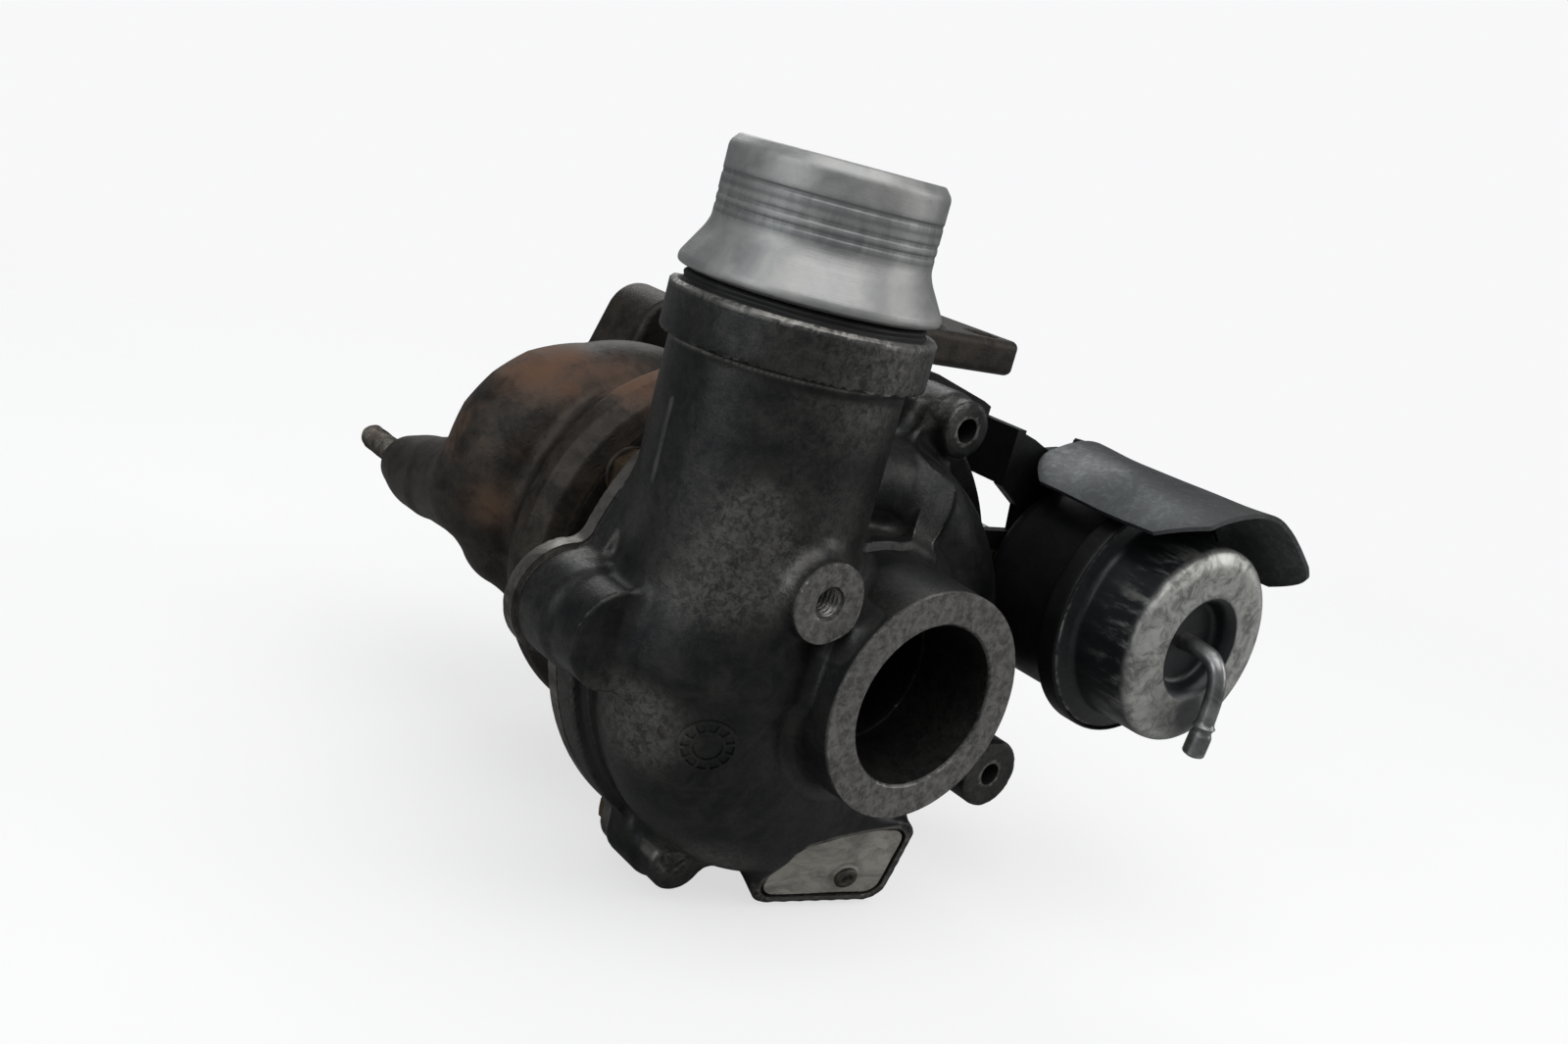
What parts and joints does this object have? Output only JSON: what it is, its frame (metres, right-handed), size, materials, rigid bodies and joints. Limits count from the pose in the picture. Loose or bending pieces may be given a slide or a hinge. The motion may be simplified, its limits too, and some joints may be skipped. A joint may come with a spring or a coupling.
{
  "type": "turbocharger",
  "caption": "Small wastegated turbocharger with a snail-shaped compressor cover, rusty turbine casting and a pressure actuator under a bent heat shield.",
  "frame": {"origin": "centre of the compressor inlet's mouth, on the shaft axis", "axes": "+Y along the shaft from the compressor to the turbine, +Z along the compressor outlet tube, +X to the right when the inlet is looked into"},
  "size_m": [0.1521, 0.1739, 0.1407],
  "materials": {
    "dark_cast_aluminium": "dark oil-stained cast aluminium with bright rubbed edges",
    "bright_aluminium": "turned, dull bright with rub bands",
    "wheel_aluminium": "machined",
    "plate_aluminium": "stained sheet",
    "cast_iron_brown": "heat-browned and rusty as cast",
    "cast_iron_dark": "oily dark casting",
    "turbine_alloy": "sooty nickel alloy",
    "steel": "ground",
    "oxidised_steel": "heat-browned",
    "yellow_zinc": "yellow passivated, dull",
    "black_steel": "worn black paint",
    "cap_steel": "black coat, worn grey on the face",
    "shield_steel": "dull mottled aluminised sheet",
    "bronze": "plain bearing bronze",
    "rubber": "black"
  },
  "bodies": {
    "housing": {"compressor_cover": "dark_cast_aluminium", "nameplate": "plate_aluminium", "nameplate_rivet": "steel", "outlet_connector": "bright_aluminium", "outlet_seal_ring": "rubber", "compressor_backplate": "dark_cast_aluminium", "cover_o_ring": "rubber", "cover_screws": "yellow_zinc", "thrust_bearing": "bronze", "bush_spacer": "steel", "compressor_piston_ring": "steel", "turbine_piston_ring": "steel", "bearing_housing": "cast_iron_dark", "housing_screws": "yellow_zinc", "turbine_bolts": "yellow_zinc", "clamp_washers": "oxidised_steel", "turbine_heat_shroud": "oxidised_steel", "turbine_housing": "cast_iron_brown", "exhaust_studs": "oxidised_steel", "wastegate_bush": "oxidised_steel", "actuator_front_cap": "cap_steel", "hose_nipple": "yellow_zinc", "actuator_spring": "steel", "actuator_rear_can": "black_steel", "rod_bush": "bronze", "mounting_studs": "yellow_zinc", "mounting_nuts": "yellow_zinc", "actuator_bracket": "black_steel", "actuator_heat_shield": "shield_steel", "shield_screw": "yellow_zinc", "shield_nut": "yellow_zinc"},
    "rotor": {"compressor_wheel": "wheel_aluminium", "shaft_nut": "steel", "thrust_collar": "steel", "turbine_wheel_shaft": "turbine_alloy"},
    "front_bush": {"front_journal_bush": "bronze"},
    "rear_bush": {"rear_journal_bush": "bronze"},
    "actuator_stem": {"piston_cup": "steel", "actuator_diaphragm": "rubber", "actuator_rod": "steel", "rod_lock_nut": "yellow_zinc", "rod_eye": "yellow_zinc"},
    "wastegate": {"wastegate_spindle": "turbine_alloy", "wastegate_flap": "turbine_alloy", "flap_washer": "oxidised_steel", "wastegate_lever": "oxidised_steel", "lever_pin": "steel", "pin_clip": "steel"}
  },
  "joints": [
    {"name": "rotor_spin", "type": "hinge", "parent": "housing", "child": "rotor", "pos_m": [0, 0.06, 0], "axis": [0, 1, 0], "continuous": true},
    {"name": "front_bush_spin", "type": "hinge", "parent": "housing", "child": "front_bush", "pos_m": [0, 0.06, 0], "axis": [0, 1, 0], "continuous": true},
    {"name": "rear_bush_spin", "type": "hinge", "parent": "housing", "child": "rear_bush", "pos_m": [0, 0.075, 0], "axis": [0, 1, 0], "continuous": true},
    {"name": "actuator_stroke", "type": "slide", "parent": "housing", "child": "actuator_stem", "axis": [0, 1, 0], "range_m": [0, 0.008], "deforming": ["actuator_spring", "actuator_diaphragm"]},
    {"name": "wastegate_swing", "type": "hinge", "parent": "housing", "child": "wastegate", "pos_m": [0.05, 0.116, -0.0061], "axis": [-1, 0, 0], "range_deg": [0, 22.92]}
  ],
  "couplings": [
    {"joint": "front_bush_spin", "follows": "rotor_spin", "ratio": 0.3},
    {"joint": "rear_bush_spin", "follows": "rotor_spin", "ratio": 0.3},
    {"joint": "wastegate_swing", "follows": "actuator_stroke", "rad_per_m": 50}
  ]
}
